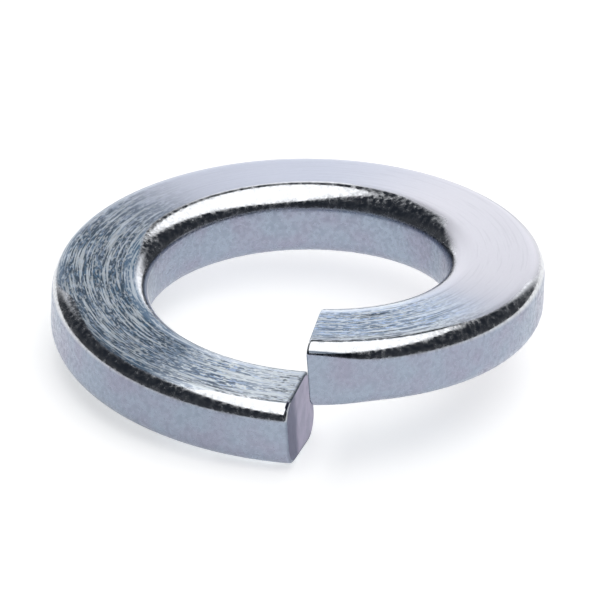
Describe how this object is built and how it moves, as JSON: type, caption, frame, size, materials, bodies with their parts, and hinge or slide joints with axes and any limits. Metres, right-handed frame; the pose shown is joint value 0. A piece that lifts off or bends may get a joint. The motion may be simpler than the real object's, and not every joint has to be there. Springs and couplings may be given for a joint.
{
  "type": "spring lock washer",
  "caption": "Split ring of flat spring wire with rounded edges, cut through at a slant and sprung open as a left-hand coil, to keep a tightened screw or nut from working loose.",
  "frame": {"origin": "on the bore axis, in the plane that the lower end of the coil touches", "axes": "+Z along the bore axis, towards the upper end of the coil; -Y through the middle of the gap between the cut ends"},
  "size_m": [0.0208, 0.0208, 0.0061],
  "materials": {
    "zinc_plated_steel": "bright zinc plate over spring steel, with fine scratches round the flat faces"
  },
  "bodies": {
    "root": {"spring_washer": "zinc_plated_steel"}
  },
  "joints": []
}
